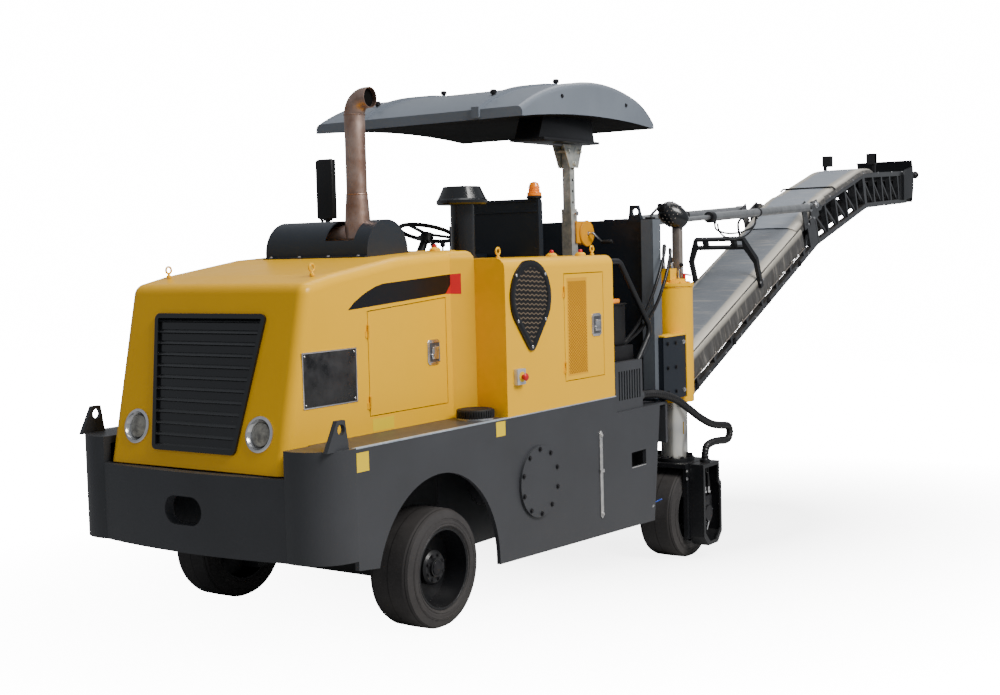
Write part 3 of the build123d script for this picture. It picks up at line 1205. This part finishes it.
def head_bumper():
    """Curved end plate over the head drum, its side cheeks and a ball on a stub."""
    top_x, top_z = UPPER_TOP[2]
    x1 = top_x - 45
    x0 = x1 - 115
    bow = x0 - BUMPER_BOW
    low, mid, high = top_z - 345, top_z - 110, top_z + 125
    cheek = [(x1 + 160, low + 20), (x1 + 160, top_z - 45), (x1 + 60, top_z + 15), (x0 - 12, top_z + 55),
             (bow + BUMPER_T - 7, mid), (x0 - 12, low + 50)]
    parts = [plate_xz(cheek, *side_span(side, CONV_HALF + RUN, BUMPER_HALF)) for side in (-1, 1)]
    inner = x0 + BUMPER_T
    outer = [ThreePointArc((x0, low), (bow, mid), (x0, high)), Line((x0, high), (inner, high)),
             ThreePointArc((inner, high), (bow + BUMPER_T, mid), (inner, low)), Line((inner, low), (x0, low))]
    plane = Plane(origin=(0, BUMPER_HALF, 0), x_dir=(1, 0, 0), z_dir=(0, -1, 0))
    parts.append(extrude(plane * make_face(outer), amount=2 * BUMPER_HALF))
    x, y, z = top_x + BALL_AT[0], BALL_AT[1], top_z + BALL_AT[2]
    parts.append(rod_x(y, z, 14, x, bow + BUMPER_T - 5))
    parts.append(Pos(x, y, z) * Sphere(BALL_R))
    return join(parts)


BUMPER_HALF = 318.0
BUMPER_T = 22.0
BUMPER_BOW = 60.0
BALL_AT = (-357.0, 290.0, -34.0)        # from the head end of the upper chord
BALL_R = 42.0
LAMPS_BACK = 390.0          # work lamps from the bend of the upper chord


def work_lamps():
    """Pair of lamps on stalks at the head of the conveyor."""
    (xa, za), (xb, zb) = UPPER_TOP[1:]
    x = xa - LAMPS_BACK
    z = za + (zb - za) * LAMPS_BACK / (xa - xb) + 1
    lamp = join([box(x - 40, x + 40, 200, 290, z + 85, z + 200), box(x - 15, x + 15, 255, 285, z, z + 90)])
    return lamp + mirrored(lamp)


# ================================================================ service hose
HOSE_R = 28.0
GLAND_R = 36.0
GLAND_L = 25.0
# centre line from the cooler box to the hub motor guard
# bends of the hose: X from the column, Y from the body's side and then from the wheel, Z
HOSE_FROM_BODY = [
    (785, -50, 1058), (680, -50, 1058), (570, -20, 1050), (380, 0, 1000),
    (210, 9, 920), (60, 17, 840), (-50, 27, 790), (-140, 35, 758),
    (-225, 45, 742), (-300, 53, 733), (-351, 56, 728), (-381, 58, 698),
]
HOSE_TO_LEG = [
    (-381, 259, 656), (-351, 258, 626), (-290, 256, 622), (-190, 252, 634),
    (-85, 246, 632), (-3, 240, 610), (-3, 240, 525),
]
HOSE_ROUTE = [(COLUMN_X + x, BODY_HALF + y, z) for x, y, z in HOSE_FROM_BODY]
HOSE_ROUTE += [(COLUMN_X + x, WHEEL_Y + y, z) for x, y, z in HOSE_TO_LEG]


def hose_radii():
    """Arc radius at each inner point: 0.45 of the shorter run over the tangent of half the turn."""
    points = [Vector(*point) for point in HOSE_ROUTE]
    radii = []
    for before, here, after in zip(points, points[1:], points[2:]):
        into, out = here - before, after - here
        turn = radians(into.get_angle(out))
        radii.append(0.45 * min(into.length, out.length) / tan(turn / 2))
    return radii


def service_hose():
    """Corrugated hose sleeve, plain here, from the cooler box down to the left hub motor."""
    path = FilletPolyline(*HOSE_ROUTE, radius=hose_radii())
    return sweep(Plane(origin=path @ 0, z_dir=path % 0) * Circle(HOSE_R), path=path)


# ================================================================ the assembly
def build():
    """Every node of the machine in its own frame, by name."""
    nodes = {
        "chassis_frame": chassis_frame(),
        "side_plate_left": side_plate(),
        "side_plate_right": mirrored(side_plate()),
        "front_counterweight": front_counterweight(),
        "drum_housing": drum_housing(),
        "front_axle": front_axle(),
        "engine_block": engine_block(),
        "engine_hood": engine_hood(),
        "hood_door": hood_door(),
        "radiator_grille": radiator_grille(),
        "headlamps": headlamps(),
        "muffler_guard": muffler_guard(),
        "exhaust_stack": exhaust_stack(),
        "side_cabinet": side_cabinet(),
        "cabinet_vent": cabinet_vent(),
        "cabinet_door": cabinet_door(),
        "fuel_cap": fuel_cap(),
        "air_precleaner": air_precleaner(),
        "operator_platform": operator_platform(),
        "operator_seat": operator_seat(),
        "control_console": control_console(),
        "steering_wheel": steering_wheel(),
        "side_mirror": side_mirror(),
        "beacon_lamp": beacon_lamp(),
        "canopy_sleeve": canopy_sleeve(),
        "canopy_post": canopy_post(),
        "canopy_roof": canopy_roof(),
        "rear_wall": rear_wall(),
        "lift_tubes": lift_tubes(),
        "floodlight": floodlight(),
        "louvre_box": louvre_box(),
        "handrails": handrails(),
        "milling_drum": milling_drum(),
        "slew_yoke": slew_yoke(),
        "hoist_mast": hoist_mast(),
        "conveyor_frame_lower": conveyor_frame_lower(),
        "conveyor_belt_lower": conveyor_belt_lower(),
        "conveyor_cover_lower": conveyor_cover_lower(),
        "cover_hoop": cover_hoop(),
        "hoist_barrels": hoist_barrels(),
        "hoist_rods": hoist_rods(),
        "conveyor_frame_upper": conveyor_frame_upper(),
        "conveyor_belt_upper": conveyor_belt_upper(),
        "conveyor_cover_upper": conveyor_cover_upper(),
        "head_bumper": head_bumper(),
        "work_lamps": work_lamps(),
        "service_hose": service_hose(),
        "lift_leg_left": lift_leg(hose=True),
        "lift_leg_right": mirrored(lift_leg()),
        "knuckle_left": knuckle(),
        "knuckle_right": mirrored(knuckle()),
    }
    for name, x, side, z in (("front_left", 0, 1, AXLE_Z), ("front_right", 0, -1, AXLE_Z),
                             ("rear_left", COLUMN_X, 1, REAR_AXLE_Z),
                             ("rear_right", COLUMN_X, -1, REAR_AXLE_Z)):
        nodes["tyre_" + name] = tyre(x, side * WHEEL_Y, z)
        out = side if x == 0 else -side
        nodes["rim_" + name] = rim(x, side * WHEEL_Y, z, out)
    return nodes


def parked(nodes):
    """Turn to the parking pitch and centre the box on the ground."""
    turn = Rot(0, park_pitch(), 0)
    turned = {name: turn * shape for name, shape in nodes.items()}
    boxes = [shape.bounding_box() for shape in turned.values()]
    x_mid = (min(b.min.X for b in boxes) + max(b.max.X for b in boxes)) / 2
    y_mid = (min(b.min.Y for b in boxes) + max(b.max.Y for b in boxes)) / 2
    z_low = min(b.min.Z for b in boxes)
    shift = Pos(-x_mid, -y_mid, -z_low)
    return {name: shift * shape for name, shape in turned.items()}, shift * turn


def main():
    os.makedirs("parts", exist_ok=True)
    nodes, _ = parked(build())
    print("hose radii", [round(radius) for radius in hose_radii()])
    for name, shape in nodes.items():
        export_step(shape, os.path.join("parts", name + ".step"))
        print(name, round(shape.volume / 1e6, 1), "litres")


if __name__ == "__main__":
    main()
